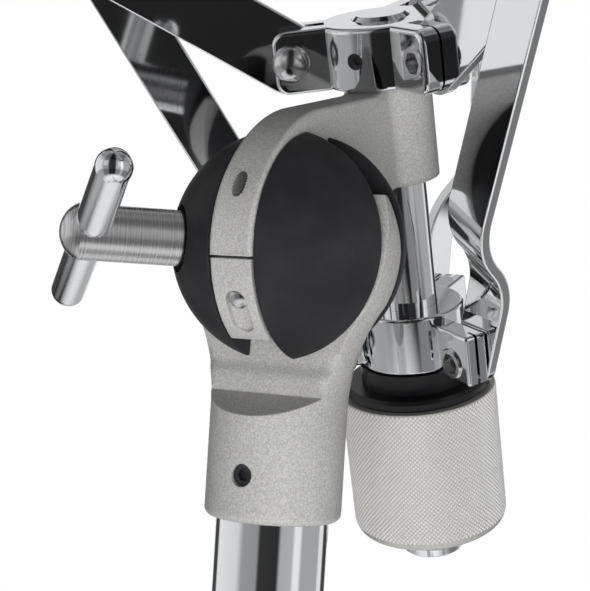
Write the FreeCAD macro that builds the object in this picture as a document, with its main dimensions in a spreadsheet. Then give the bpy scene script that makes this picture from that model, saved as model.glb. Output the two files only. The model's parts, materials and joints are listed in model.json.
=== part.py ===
"""Snare drum stand with a ball tilter, millimetres, +Z up.

The origin is on the floor, on the axis of the stand's tubes. The viewer of the stand looks along +Y.
Three frames carry the pieces: the floor frame, the tilter frame (at the ball's centre, turned about Z,
its X along the tilt axis) and the basket frame (the tilter frame after the tilt).
"""
import FreeCAD, Part
import math
import os
import re
import Sketcher
from FreeCAD import Placement, Rotation, Vector

X, Y, Z = Vector(1, 0, 0), Vector(0, 1, 0), Vector(0, 0, 1)
ORIGIN = Vector(0, 0, 0)
LEGS = 3
LEG_TURN = 30
ARMS = "abc"

SIZES = {
    # Clearances
    "run_fit": 0.05, "seat_fit": 0.02, "side_gap": 0.3,
    # Tubes and their clamp
    "upper_tube_od": 25.4, "upper_tube_wall": 1.5, "upper_tube_length": 266,
    "base_tube_od": 28.6, "base_tube_wall": 1.2, "base_tube_low": 24, "base_tube_top": 308,
    "plug_lip": 4, "plug_depth": 14,
    "clamp_od": 41, "clamp_low": 294, "clamp_height": 40, "clamp_ear": 37, "clamp_ear_width": 20,
    "clamp_slit": 3, "clamp_screw_reach": 29,
    "bush_wall": 2.8, "bush_flange": 2.2, "bush_flange_od": 36,
    "lock_od": 37, "lock_height": 15, "lock_ear": 26, "lock_ear_width": 15,
    "screw_od": 8, "screw_head_od": 12, "handle_od": 6.5, "handle_length": 44, "nut_size": 13,
    "nut_depth": 6,
    # Tripod
    "leg_angle": 46, "pivot_radius": 34, "brace_length": 110, "spider_pivot": 45,
    "leg_width": 16, "leg_thick": 3, "leg_gap": 12, "brace_width": 14, "brace_thick": 4,
    "spider_od": 40, "spider_height": 16, "spider_lug": 2.7,
    "collar_od": 43, "collar_below": 10, "collar_above": 24, "collar_boss_od": 14, "collar_boss_reach": 29,
    "leg_pin_od": 6, "brace_pin_od": 5, "pin_head_od": 9, "pin_head": 1.6,
    "foot_od": 29, "foot_length": 36, "foot_flat": 3,
    # Ball and the two castings of the tilter
    "ball_height": 452, "tilter_turn": 28.5, "basket_tilt": 21.5,
    "ball_od": 52.6, "core_od": 27.2, "ball_edge": 0.5,
    "yoke_slot": 10.4, "ring_slot": 10.8, "bore_od": 28.4,
    "yoke_od": 52.3, "horn_tip": 12, "horn_thick": 7.8, "yoke_thick": 9.8, "neck_thick": 12.8,
    "neck_top": 28.6, "shelf_top": 33, "shelf_low": 38, "tube_seat": 40, "flare_low": 36, "flare_angle": 28,
    "socket_od": 30.7, "socket_end": 61, "socket_round": 2, "set_screw_od": 5, "set_screw_drop": 50.5,
    "ring_od": 52.2, "ring_thick": 10.4, "ring_split": 13.8, "ring_end": 34, "ring_edge": 1,
    "arm_top": 28.4, "arm_top_at": 13, "arm_take_off": 55, "arm_bend": 40, "arm_neck": 5,
    "clip_od": 51.2, "clip_split": 1.4, "slot_angle": 15.7, "slot_length": 10.8, "slot_width": 5,
    "slot_depth": 1.5, "clip_screw_od": 4.4,
    # Clamping bolt of the ball
    "t_bolt_od": 12.4, "t_bolt_reach": 51.6, "t_bar_at": 45, "t_bar_od": 8, "t_bar_length": 64,
    "t_bar_turn": 63, "t_bolt_recess": 15, "t_bolt_seat": 23.5, "insert_od": 12, "insert_depth": 8,
    # Basket
    "post_offset": 58, "post_od": 14.5, "post_socket_od": 21.8, "post_socket_low": -0.6,
    "post_socket_top": 24.5, "stud_od": 12, "stud_end": 100, "stud_top": 59, "post_top": 41,
    "basket_turn": 208.5, "hub_height": 15.5, "hub_od": 31, "hub_lug": 13.4, "hub_lug_end": 4.2,
    "pivot_out": 23,
    "lower_hub_at": 42.1, "lower_hub_height": 15.2, "lower_hub_od": 28, "lower_lug": 6.1,
    "lower_lug_end": 28.5,
    "lower_pivot_out": 21.5, "lower_pivot_drop": 2.8, "lower_lug_height": 13, "lower_lug_drop": 0.9,
    "lug_slit": 0.8, "lug_slit_depth": 3.2, "lower_edge": 0.8, "socket_head_od": 8, "socket_head": 0.6,
    "arm_width": 17.5, "arm_thick": 3, "arm_length": 185, "arm_rise": 36, "finger_length": 40,
    "finger_width": 14, "strut_width": 13.7, "strut_thick": 2.6, "strut_reach": 56, "joggle_from": 18,
    "joggle_run": 30, "strut_lean": 3.5, "arm_pin_od": 6, "rivet_od": 9.2, "rivet_rise": 3.2,
    "hex_size": 5, "hex_depth": 2.5, "flat_edge": 0.5, "hub_edge": 1.2, "grip_edge": 3,
    "grip_width": 21, "grip_thick": 11, "grip_from": 8, "grip_length": 38, "grip_notch": 9,
    "washer_od": 38, "washer_height": 3, "washer_boss_od": 29, "nut_od": 41, "nut_top": 58,
    "nut_end": 97.3, "nut_round": 3,
    "nut_counterbore": 13,
}

doc = FreeCAD.newDocument("SnareDrumStand")
sheet = doc.addObject("Spreadsheet::Sheet", "Sizes")
for row, (alias, value) in enumerate(SIZES.items(), start=1):
    sheet.set(f"A{row}", alias.replace("_", " "))
    sheet.set(f"B{row}", str(value))
    sheet.setAlias(f"B{row}", alias)
doc.recompute()

nodes = {}


def dim(alias):
    """A driving dimension, as a number."""
    return float(sheet.get(alias))


def bound(text):
    """An expression on the sheet's cells, from the plain words of their aliases."""
    return re.sub(r"[a-z]\w*", lambda word: "Sizes." + word.group() if word.group() in SIZES else word.group(),
                  str(text))


def value_of(text):
    """The number that such an expression gives now."""
    probe = sheet.evalExpression(bound(text))
    return float(getattr(probe, "Value", probe))


def solid(kind, name, at=(0, 0, 0), turn=None, **measures):
    """A primitive whose sizes and place are bound to the sheet."""
    item = doc.addObject("Part::" + kind, name)
    if turn:
        item.Placement = Placement(ORIGIN, turn)
    for measure, text in measures.items():
        item.setExpression(measure, bound(text))
    for axis, text in zip("xyz", at):
        if text != 0:
            item.setExpression("Placement.Base." + axis, bound(text))
    return item


ALONG_X = Rotation(Y, 90)
ALONG_Y = Rotation(X, -90)


def rod(name, od, length, at=(0, 0, 0), turn=None):
    return solid("Cylinder", name, at, turn, Radius=f"({od}) / 2", Height=length)


def block(name, length, width, height, at):
    return solid("Box", name, at, None, Length=length, Width=width, Height=height)


def fused(name, *items):
    item = doc.addObject("Part::MultiFuse", name)
    item.Shapes = list(items)
    item.Refine = True
    return item


def shared(name, *items):
    item = doc.addObject("Part::MultiCommon", name)
    item.Shapes = list(items)
    return item


def cut(name, base, *tools):
    item = doc.addObject("Part::Cut", name)
    item.Base = base
    item.Tool = tools[0] if len(tools) == 1 else fused(name + "_tools", *tools)
    item.Refine = True
    return item


def group(name, *items):
    item = doc.addObject("Part::Compound", name)
    item.Links = list(items)
    return item


def placed(item, placement):
    item.Placement = placement
    return item


def node(label, item, placement=None):
    """Name a finished sub-part and put it in its place."""
    item.Label = label
    if placement:
        item.Placement = placement
    nodes[label] = item
    return item


def rounded(name, base, radius, wanted):
    """Round the edges that the test picks."""
    doc.recompute()
    item = doc.addObject("Part::Fillet", name)
    item.Base = base
    reach = value_of(radius)
    item.Edges = [(n, reach, reach) for n, edge in enumerate(base.Shape.Edges, start=1) if wanted(edge)]
    return item


def outline(body, plane, corners):
    """A closed sketch: each corner is (x, y), or (x, y, radius, side) where an arc leads to it."""
    sketch = body.newObject("Sketcher::SketchObject", body.Name + "_outline")
    sketch.AttachmentSupport = [(next(f for f in body.Origin.OriginFeatures if f.Role == plane), "")]
    sketch.MapMode = "FlatFace"
    points = [Vector(value_of(corner[0]), value_of(corner[1]), 0) for corner in corners]
    ends = []
    for index, corner in enumerate(corners):
        start, end = points[index - 1], points[index]
        if len(corner) == 2:
            sketch.addGeometry(Part.LineSegment(start, end))
            ends.append((1, 2))
            continue
        radius, side = value_of(corner[2]), corner[3]
        chord = end - start
        across = Vector(-chord.y, chord.x, 0).normalize() * side
        rise = math.sqrt(max(radius ** 2 - chord.Length ** 2 / 4, 0))
        centre = (start + end) * 0.5 + across * rise
        first, last = (start, end) if side > 0 else (end, start)
        angles = [math.atan2(p.y - centre.y, p.x - centre.x) for p in (first, last)]
        sketch.addGeometry(Part.ArcOfCircle(Part.Circle(centre, Z, radius), *angles))
        ends.append((1, 2) if side > 0 else (2, 1))
    for index, corner in enumerate(corners):
        following = (index + 1) % len(corners)
        sketch.addConstraint(Sketcher.Constraint("Coincident", index, ends[index][1], following,
                                                 ends[following][0]))
        limits = [("DistanceX", corner[0], points[index].x, -2),
                  ("DistanceY", corner[1], points[index].y, -1)]
        for kind, text, number, axis in limits:
            if abs(number) < 1e-9:
                sketch.addConstraint(Sketcher.Constraint("PointOnObject", index, ends[index][1], axis))
                continue
            made = sketch.addConstraint(Sketcher.Constraint(kind, -1, 1, index, ends[index][1], number))
            sketch.setExpression(f"Constraints[{made}]", bound(text))
        if len(corner) > 2:
            made = sketch.addConstraint(Sketcher.Constraint("Radius", index, value_of(corner[2])))
            sketch.setExpression(f"Constraints[{made}]", bound(corner[2]))
    return sketch


def turned(name, corners):
    """A body of revolution about Z from a half outline in X and Z."""
    body = doc.addObject("PartDesign::Body", name)
    sketch = outline(body, "XZ_Plane", corners)
    feature = body.newObject("PartDesign::Revolution", name + "_turn")
    feature.Profile = sketch
    feature.ReferenceAxis = (sketch, ["V_Axis"])
    feature.Angle = 360
    return body


def pad(name, plane, corners, depth):
    """A plate of even thickness, centred on the plane of its outline."""
    body = doc.addObject("PartDesign::Body", name)
    sketch = outline(body, plane, corners)
    feature = body.newObject("PartDesign::Pad", name + "_pad")
    feature.Profile = sketch
    feature.SideType = "Symmetric"
    feature.setExpression("Length", bound(depth))
    return body


def bar(name, length, width, thick, side=0):
    """A flat bar along +X with round ends at its two pivots, its faces across Y."""
    low = f"{side} - ({thick}) / 2"
    straight = block(name + "_straight", length, thick, width, (0, low, f"-({width}) / 2"))
    near = rod(name + "_near", width, thick, (0, low, 0), ALONG_Y)
    far = rod(name + "_far", width, thick, (length, low, 0), ALONG_Y)
    return fused(name, straight, near, far)


def cross_hole(name, od, x, reach):
    """A round tool across Y at a distance along a bar."""
    return rod(name, od, f"2 * ({reach})", (x, f"-({reach})", 0), ALONG_Y)


def hexagon(name, across_flats, height, at=(0, 0, 0), turn=None):
    prism = doc.addObject("Part::Prism", name)
    prism.Polygon = 6
    if turn:
        prism.Placement = Placement(ORIGIN, turn)
    prism.setExpression("Circumradius", bound(f"({across_flats}) / sqrt(3)"))
    prism.setExpression("Height", bound(height))
    for axis, text in zip("xyz", at):
        if text != 0:
            prism.setExpression("Placement.Base." + axis, bound(text))
    return prism


def polar(distance, degrees):
    """A point of a plane, as two plain numbers."""
    return distance * math.cos(math.radians(degrees)), distance * math.sin(math.radians(degrees))


def about_z(degrees):
    return Placement(ORIGIN, Rotation(Z, degrees))


TILTER = Placement(Vector(0, 0, dim("ball_height")), Rotation(Z, -dim("tilter_turn")))
BASKET = TILTER * Placement(ORIGIN, Rotation(X, dim("basket_tilt")))
POST = BASKET * Placement(Vector(0, dim("post_offset"), 0), Rotation())


def tubes():
    """The two chromed tubes, and the cap that closes the lower one."""
    length = "base_tube_top - base_tube_low"
    outer = rod("base_tube_outer", "base_tube_od", length)
    inner = rod("base_tube_inner", "base_tube_od - 2 * base_tube_wall", length)
    node("base_tube", cut("base_tube", outer, inner),
         Placement(Vector(0, 0, dim("base_tube_low")), Rotation()))

    outer = rod("upper_tube_outer", "upper_tube_od", "upper_tube_length")
    inner = rod("upper_tube_inner", "upper_tube_od - 2 * upper_tube_wall", "upper_tube_length")
    top = dim("ball_height") - dim("tube_seat")
    place = Placement(Vector(0, 0, top - dim("upper_tube_length")), Rotation())
    node("upper_tube", cut("upper_tube", outer, inner), place)

    inside = "base_tube_od / 2 - base_tube_wall - seat_fit"
    plug = turned("tube_plug", [(0, "-plug_lip"), ("base_tube_od / 2 - 1", "-plug_lip"),
                                ("base_tube_od / 2", "1 - plug_lip"), ("base_tube_od / 2", 0),
                                (inside, 0), (inside, "plug_depth"), (0, "plug_depth")])
    node("tube_plug", plug, Placement(Vector(0, 0, dim("base_tube_low")), Rotation()))


def handle_screw(name, tip, bar_at):
    """A screw along +Y with a round cross handle: tip and handle are distances from the screw's origin."""
    stem = rod(name + "_stem", "screw_od", f"({bar_at}) - ({tip})", (0, tip, 0), ALONG_Y)
    head = rod(name + "_head", "screw_head_od", "handle_od + 4", (0, f"({bar_at}) - handle_od / 2 - 2", 0),
               ALONG_Y)
    handle = rod(name + "_handle", "handle_od", "handle_length", (0, bar_at, "-handle_length / 2"))
    ends = [solid("Sphere", name + f"_end_{n}", (0, bar_at, f"{sign} * handle_length / 2"), None,
                  Radius="handle_od / 2") for n, sign in enumerate((-1, 1))]
    return fused(name, stem, head, handle, *ends)


CLAMP = Placement(Vector(0, 0, dim("clamp_low")), Rotation(Z, 215))


def height_clamp():
    """The split casting on the lower tube, its bush, its screw with a nut, and the stop on the upper tube."""
    joint = "base_tube_top - clamp_low"
    body = rod("clamp_body", "clamp_od", "clamp_height")
    ears = block("clamp_ears", "clamp_ear", "clamp_ear_width", "clamp_height - 8",
                 (0, "-clamp_ear_width / 2", 4))
    tube_bore = rod("clamp_tube_bore", "base_tube_od + 2 * seat_fit", "clamp_height")
    bush_bore = rod("clamp_bush_bore", "upper_tube_od + 2 * bush_wall + 4 * run_fit", "clamp_height",
                    (0, 0, joint))
    slit = block("clamp_slit", "clamp_ear", "clamp_slit", "clamp_height", (1, "-clamp_slit / 2", joint))
    hole = cross_hole("clamp_screw_hole", "screw_od + 2 * run_fit", "clamp_screw_reach", "clamp_od")
    hole.setExpression("Placement.Base.z", bound("clamp_height / 2 + 4"))
    casting = cut("height_clamp", fused("clamp_whole", body, ears), tube_bore, bush_bore, slit, hole)
    node("height_clamp", casting, CLAMP)

    screw_line = CLAMP * Placement(Vector(dim("clamp_screw_reach"), 0, dim("clamp_height") / 2 + 4),
                                   Rotation())
    half = "clamp_ear_width / 2"
    node("clamp_screw", handle_screw("clamp_screw", f"-{half} - nut_depth - 3", "clamp_od / 2 + handle_od"),
         screw_line * Placement(ORIGIN, Rotation(Y, 60)))
    nut = hexagon("clamp_nut_body", "nut_size", "nut_depth", (0, f"-{half} - nut_depth", 0), ALONG_Y)
    nut_hole = cross_hole("clamp_nut_hole", "screw_od + 2 * run_fit", 0, "clamp_od")
    node("clamp_nut", cut("clamp_nut", nut, nut_hole), screw_line)

    outer, inner = "upper_tube_od / 2 + bush_wall + run_fit", "upper_tube_od / 2 + run_fit"
    rim = "bush_flange_od / 2"
    low, top = f"{joint} + side_gap", "clamp_height + side_gap"
    bush = turned("tube_bush", [(inner, low), (outer, low), (outer, top), (rim, top),
                                (rim, f"{top} + bush_flange"),
                                (inner, f"{top} + bush_flange")])
    node("tube_bush", bush, CLAMP)

    ring = rod("lock_ring", "lock_od", "lock_height")
    ear = block("lock_ear", "lock_ear", "lock_ear_width", "lock_height", (0, "-lock_ear_width / 2", 0))
    bore = rod("lock_bore", "upper_tube_od + 2 * run_fit", "lock_height")
    slit = block("lock_slit", "lock_ear", "clamp_slit", "lock_height", (1, "-clamp_slit / 2", 0))
    hole = cross_hole("lock_hole", "set_screw_od + 2 * seat_fit", "lock_ear - 5", "lock_od")
    hole.setExpression("Placement.Base.z", bound("lock_height / 2"))
    lock_place = CLAMP * Placement(Vector(0, 0, value_of("clamp_height + 2 * side_gap + bush_flange")),
                                   Rotation())
    node("memory_lock", cut("memory_lock", fused("lock_whole", ring, ear), bore, slit, hole), lock_place)
    stem = rod("lock_screw_stem", "set_screw_od", "lock_ear_width + 2", (0, "-lock_ear_width / 2 - 2", 0),
               ALONG_Y)
    head = rod("lock_screw_head", "screw_head_od - 4", 2.5, (0, "lock_ear_width / 2", 0), ALONG_Y)
    key = block("lock_screw_key", 6, 7, 6, (-3, "lock_ear_width / 2 + 2", -3))
    key_place = lock_place * Placement(Vector(value_of("lock_ear - 5"), 0, dim("lock_height") / 2),
                                       Rotation())
    node("lock_screw", fused("lock_screw", stem, head, key), key_place)


STEEP = math.radians(dim("leg_angle"))
COLLAR_PIVOT = dim("spider_pivot") + 2 * dim("brace_length") * math.cos(STEEP)
LEG_LENGTH = (COLLAR_PIVOT - dim("foot_od") / 2 + dim("foot_flat")) / math.cos(STEEP)
LEG_DOWN = Rotation(Y, 90 - dim("leg_angle"))
BRACE_UP = Rotation(Y, dim("leg_angle") - 90)
STRIP_SIDE = "(leg_gap + leg_thick) / 2"
INNER = "leg_gap / 2 - side_gap"
OUTER = "leg_gap / 2 + leg_thick"


def leg_frame(index):
    return about_z(LEG_TURN + 360 / LEGS * index)


def lug(name, index, reach, width, thick, side=0):
    """A tongue along +X with a round end at its pivot."""
    low = f"{side} - ({thick}) / 2"
    tongue = block(name + "_tongue", reach, thick, width, (0, low, f"-({width}) / 2"))
    end = rod(name + "_end", width, thick, (reach, low, 0), ALONG_Y)
    return placed(fused(name, tongue, end), leg_frame(index))


def headed_pin(name, od, half, head_od, head, x=0):
    """A pin across Y with a domed head at each end."""
    shank = rod(name + "_shank", od, f"2 * ({half})", (x, f"-({half})", 0), ALONG_Y)
    heads = [rod(name + f"_head_{n}", head_od, head, (x, low, 0), ALONG_Y)
             for n, low in enumerate((f"-({half}) - ({head})", half))]
    return fused(name, shank, *heads)


def tripod():
    """The fixed spider, the sliding collar with its screw, and three double legs with their braces."""
    spider_ring = rod("spider_ring", "spider_od", "spider_height", (0, 0, "-spider_height / 2"))
    collar_ring = rod("collar_ring", "collar_od", "collar_above + collar_below", (0, 0, "-collar_below"))
    cheek = "(brace_thick + spider_lug) / 2 + side_gap"
    spider_lugs, collar_lugs, spider_holes, collar_holes = [], [], [], []
    for i in range(LEGS):
        for n, sign in enumerate((-1, 1)):
            spider_lugs.append(lug(f"spider_lug_{i}{n}", i, "pivot_radius", "brace_width", "spider_lug",
                                   f"{sign} * ({cheek})"))
        collar_lugs.append(lug(f"collar_lug_{i}", i, "pivot_radius", "leg_width", f"2 * ({INNER})"))
        spider_holes.append(placed(group(f"spider_hole_{i}", cross_hole(
            f"spider_hole_tool_{i}", "brace_pin_od + 2 * seat_fit", "pivot_radius", "leg_gap")),
            leg_frame(i)))
        collar_holes.append(placed(group(f"collar_hole_{i}", cross_hole(
            f"collar_hole_tool_{i}", "leg_pin_od + 2 * seat_fit", "pivot_radius", "leg_gap")),
            leg_frame(i)))
    spider_bore = rod("spider_bore", "base_tube_od + 2 * seat_fit", "4 * spider_height",
                      (0, 0, "-2 * spider_height"))
    spider = cut("leg_spider", fused("spider_whole", spider_ring, *spider_lugs), spider_bore, *spider_holes)
    spider_place = Placement(Vector(0, 0, dim("spider_pivot")), Rotation())
    node("leg_spider", spider, spider_place)

    collar_bore = rod("collar_bore", "base_tube_od + 2 * run_fit", "4 * collar_above",
                      (0, 0, "-2 * collar_above"))
    boss = rod("collar_boss", "collar_boss_od", "collar_boss_reach", (0, 0, "collar_above / 2 + 2"),
               ALONG_Y)
    screw_hole = rod("collar_screw_hole", "screw_od + 2 * run_fit", "collar_od",
                     (0, 0, "collar_above / 2 + 2"), ALONG_Y)
    collar = cut("leg_collar", fused("collar_whole", collar_ring, boss, *collar_lugs), collar_bore,
                 screw_hole,
                 *collar_holes)
    collar_place = Placement(Vector(0, 0, COLLAR_PIVOT), Rotation())
    node("leg_collar", collar, collar_place)
    screw = handle_screw("collar_screw", "base_tube_od / 2 + side_gap", "collar_boss_reach + handle_od + 3")
    node("collar_screw", screw,
         collar_place * Placement(Vector(0, 0, value_of("collar_above / 2 + 2")), Rotation()))

    pins = [placed(headed_pin(f"leg_pin_{i}", "leg_pin_od", f"{OUTER} + side_gap", "pin_head_od",
                              "pin_head",
                              "pivot_radius"), leg_frame(i)) for i in range(LEGS)]
    node("leg_pins", group("leg_pins", *pins), collar_place)
    reach = "brace_thick / 2 + side_gap + spider_lug"
    pins = [placed(headed_pin(f"brace_pin_{i}", "brace_pin_od", reach, "pin_head_od - 2", "pin_head / 3",
                              "pivot_radius"), leg_frame(i)) for i in range(LEGS)]
    node("brace_pins", group("brace_pins", *pins), spider_place)
    for i in range(LEGS):
        leg_and_brace(i)


def leg_and_brace(i):
    """One leg of two strips with its rivets and rubber foot, and the brace between the strips."""
    number = i + 1
    pivot = leg_frame(i) * Placement(Vector(dim("pivot_radius"), 0, COLLAR_PIVOT), LEG_DOWN)
    strips = []
    for n, sign in enumerate((-1, 1)):
        strip = bar(f"leg_strip_{i}{n}", LEG_LENGTH, "leg_width", "leg_thick", f"{sign} * {STRIP_SIDE}")
        pin_hole = cross_hole(f"leg_pin_hole_{i}{n}", "leg_pin_od + 2 * run_fit", 0, "leg_gap")
        rivet_hole = cross_hole(f"leg_rivet_hole_{i}{n}", "brace_pin_od + 2 * seat_fit", "brace_length",
                                "leg_gap")
        strips.append(cut(f"leg_side_{i}{n}", strip, pin_hole, rivet_hole))
    node(f"leg_{number}", group(f"leg_{number}", *strips), pivot)

    rivets = []
    for n, sign in enumerate((-1, 1)):
        inner_end = f"{sign} * leg_gap / 2" if sign > 0 else f"-({OUTER})"
        head_end = f"{OUTER}" if sign > 0 else f"-({OUTER}) - pin_head"
        shank = rod(f"leg_rivet_shank_{i}{n}", "brace_pin_od", "leg_thick", ("brace_length", inner_end, 0),
                    ALONG_Y)
        head = rod(f"leg_rivet_head_{i}{n}", "pin_head_od", "pin_head", ("brace_length", head_end, 0),
                   ALONG_Y)
        rivets.append(fused(f"leg_rivet_{i}{n}", shank, head))
    node(f"leg_rivets_{number}", group(f"leg_rivets_{number}", *rivets), pivot)

    start = LEG_LENGTH - dim("foot_length")
    boot = turned(f"foot_boot_{i}", [
        (0, start), ("foot_od / 2 - foot_flat / 2", start), ("foot_od / 2", f"{start} + foot_flat / 2"),
        ("foot_od / 2", LEG_LENGTH), (0, f"{LEG_LENGTH} + foot_od / 2", "foot_od / 2", 1)])
    boot = placed(group(f"foot_whole_{i}", boot), Placement(ORIGIN, ALONG_X))
    slots = [block(f"foot_slot_{i}{n}", "foot_length * 2", "leg_thick + 2 * seat_fit",
                   "leg_width + 2 * seat_fit",
                   (start - dim("foot_length"), f"{sign} * {STRIP_SIDE} - leg_thick / 2 - seat_fit",
                    "-leg_width / 2 - seat_fit")) for n, sign in enumerate((-1, 1))]
    slot_ends = [rod(f"foot_slot_end_{i}{n}", "leg_width + 2 * seat_fit", "leg_thick + 2 * seat_fit",
                     (LEG_LENGTH, f"{sign} * {STRIP_SIDE} - leg_thick / 2 - seat_fit", 0), ALONG_Y)
                 for n, sign in enumerate((-1, 1))]
    trimmed = [block(f"foot_trim_{i}", "9 * foot_length", "4 * foot_od", "foot_od",
                     (0, "-2 * foot_od", "-foot_od"))]
    slots = [shared(f"foot_pocket_{i}{n}", block(f"foot_reach_{i}{n}", LEG_LENGTH, "foot_od", "foot_od",
                                                 (0, "-foot_od / 2", "-foot_od / 2")), slot)
             for n, slot in enumerate(slots)]
    sloped = placed(cut(f"foot_sloped_{i}", boot, *slots, *slot_ends),
                    Placement(Vector(dim("pivot_radius"), 0, COLLAR_PIVOT), LEG_DOWN))
    trimmed[0].setExpression("Placement.Base.x", bound("pivot_radius"))
    node(f"foot_{number}", cut(f"foot_{number}", sloped, *trimmed), leg_frame(i))

    strip = bar(f"brace_strip_{i}", "brace_length", "brace_width", "brace_thick")
    eye = rod(f"brace_eye_{i}", "pin_head_od + 3", f"2 * ({INNER})", ("brace_length", f"-({INNER})", 0),
              ALONG_Y)
    pin_hole = cross_hole(f"brace_pin_hole_{i}", "brace_pin_od + 2 * run_fit", 0, "leg_gap")
    eye_hole = cross_hole(f"brace_eye_hole_{i}", "brace_pin_od + 2 * run_fit", "brace_length", "leg_gap")
    brace = cut(f"brace_{number}", fused(f"brace_whole_{i}", strip, eye), pin_hole, eye_hole)
    node(f"brace_{number}", brace,
         leg_frame(i) * Placement(Vector(dim("pivot_radius"), 0, dim("spider_pivot")), BRACE_UP))


def tilter_base():
    """The lower casting: a tube socket that flares into a fork, with horns beside the ball."""
    tip = math.degrees(math.asin(2 * dim("horn_tip") / dim("yoke_od")))
    flare_x, flare_z = polar(dim("yoke_od") / 2, -dim("flare_angle"))
    tip_x = polar(dim("yoke_od") / 2, tip)[0]
    run, rise = flare_x - dim("socket_od") / 2, flare_z + dim("flare_low")
    whole = turned("yoke_round", [
        (0, "-socket_end"), ("socket_od / 2 - socket_round", "-socket_end"),
        ("socket_od / 2", "socket_round - socket_end", "socket_round", 1), ("socket_od / 2", "-flare_low"),
        (flare_x, flare_z, (run ** 2 + rise ** 2) / (2 * run), -1), (tip_x, "horn_tip", "yoke_od / 2", 1),
        (0, "horn_tip")])
    half = [("0.6", "horn_tip + 0.2"), ("horn_thick / 2", 0), ("yoke_thick / 2", "-ball_od / 2 - 0.4"),
            ("neck_thick / 2", "-neck_top"), ("neck_thick / 2", "-shelf_top"),
            ("socket_od / 2 + 1", "-shelf_low"), ("socket_od / 2 + 1", "-socket_end - 1")]
    mirrored = [(f"-({x})", z) for x, z in reversed(half)]
    sides = pad("yoke_sides", "YZ_Plane", half + mirrored, "2 * yoke_od")
    bore = rod("yoke_tube_bore", "upper_tube_od + 2 * seat_fit", "socket_end - tube_seat",
               (0, 0, "-socket_end"))
    heart = rod("yoke_heart", "bore_od", "yoke_od", (0, "-yoke_od / 2", 0), ALONG_Y)
    gap = block("yoke_gap", "bore_od + 2", "yoke_od", "yoke_od", ("-bore_od / 2 - 1", "-yoke_od / 2", 0))
    hole = rod("yoke_screw_hole", "set_screw_od + 2 * seat_fit", "socket_od",
               (0, "-socket_od", "-set_screw_drop"), ALONG_Y)
    node("tilter_base", cut("tilter_base", shared("yoke_form", whole, sides), bore, heart, gap, hole),
         TILTER)

    reach = "socket_od / 2 - upper_tube_od / 2 - 1.2"
    screw = rod("base_set_screw_body", "set_screw_od", reach)
    socket = hexagon("base_set_screw_hex", "hex_size / 2", "1.4", (0, 0, f"{reach} - 1.3"))
    facing = TILTER * Placement(Vector(0, -value_of("upper_tube_od / 2 + seat_fit"),
                                       -dim("set_screw_drop")), Rotation(X, 90))
    node("base_set_screw", cut("base_set_screw", screw, socket), facing)


BOLT = Placement(ORIGIN, Rotation(Z, -135) * Rotation(Y, 90))
QUARTERS = {"left": (-1, -1), "front": (1, -1), "right": (1, 1), "rear": (-1, 1)}


def ball():
    """Four quarters of the ball round a core, and the threaded insert that the clamping bolt pulls on."""
    for side, (x_sign, y_sign) in QUARTERS.items():
        whole = solid("Sphere", f"ball_{side}_whole", Radius="ball_od / 2")
        corner = ["ring_slot / 2" if x_sign > 0 else "-ring_slot / 2 - ball_od",
                  "yoke_slot / 2" if y_sign > 0 else "-yoke_slot / 2 - ball_od", "-ball_od"]
        wedge = block(f"ball_{side}_wedge", "ball_od", "ball_od", "2 * ball_od", corner)
        hollow = solid("Sphere", f"ball_{side}_hollow", Radius="core_od / 2 + seat_fit")
        tools = [hollow]
        if side == "left":
            tools.append(placed(group("ball_bolt_hole",
                                      rod("ball_bolt_hole_tool", "screw_od + 2 * run_fit", "ball_od")),
                                BOLT))
            tools.append(placed(group("ball_bolt_seat",
                                      rod("ball_bolt_seat_tool", "t_bolt_recess", "ball_od",
                                                            (0, 0, "t_bolt_seat"))), BOLT))
        if side == "right":
            tools.append(placed(group("ball_insert_hole",
                                      rod("ball_insert_hole_tool", "insert_od + 2 * seat_fit",
                                                              "ball_od",
                                                              (0, 0, "-ball_od - core_od / 2 - 2"))), BOLT))
            tools.append(placed(group("ball_far_hole",
                                      rod("ball_far_hole_tool", "screw_od + 2 * run_fit", "ball_od",
                                                           (0, 0, "-ball_od"))), BOLT))
        quarter = cut(f"ball_{side}_cut", shared(f"ball_{side}_form", whole, wedge), *tools)
        softened = rounded(f"ball_{side}", quarter, "ball_edge", on_ball_rim)
        node(f"ball_{side}", softened, TILTER)

    core = solid("Sphere", "ball_core_whole", Radius="core_od / 2")
    hole = placed(group("core_hole",
                        rod("core_hole_tool", "screw_od + 2 * run_fit", "2 * core_od",
                            (0, 0, "-core_od"))), BOLT)
    node("ball_core", cut("ball_core", core, hole), TILTER)
    insert = rod("insert_body", "insert_od", "insert_depth", (0, 0, "-core_od / 2 - 2 - insert_depth"))
    hole = rod("insert_hole", "screw_od + 2 * run_fit", "2 * ball_od", (0, 0, "-ball_od"))
    node("clamp_insert", cut("clamp_insert", insert, hole), TILTER * BOLT)


def on_ball_rim(edge):
    """Edges where the outer sphere meets the flat faces of the slots."""
    reach = dim("ball_od") / 2
    return all(abs(vertex.Point.Length - reach) < 0.01 for vertex in edge.Vertexes) and on_sphere(edge,
                                                                                                  reach)


def on_sphere(edge, reach):
    middle = edge.valueAt((edge.FirstParameter + edge.LastParameter) / 2)
    return abs(middle.Length - reach) < 0.01 and not at_bolt(middle)


def at_bolt(point):
    """Whether a point of the ball lies near the recess of the clamping bolt or its insert."""
    along = BOLT.Rotation.multVec(Z)
    return (point - along * point.dot(along)).Length < dim("t_bolt_recess") * 0.6


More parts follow.
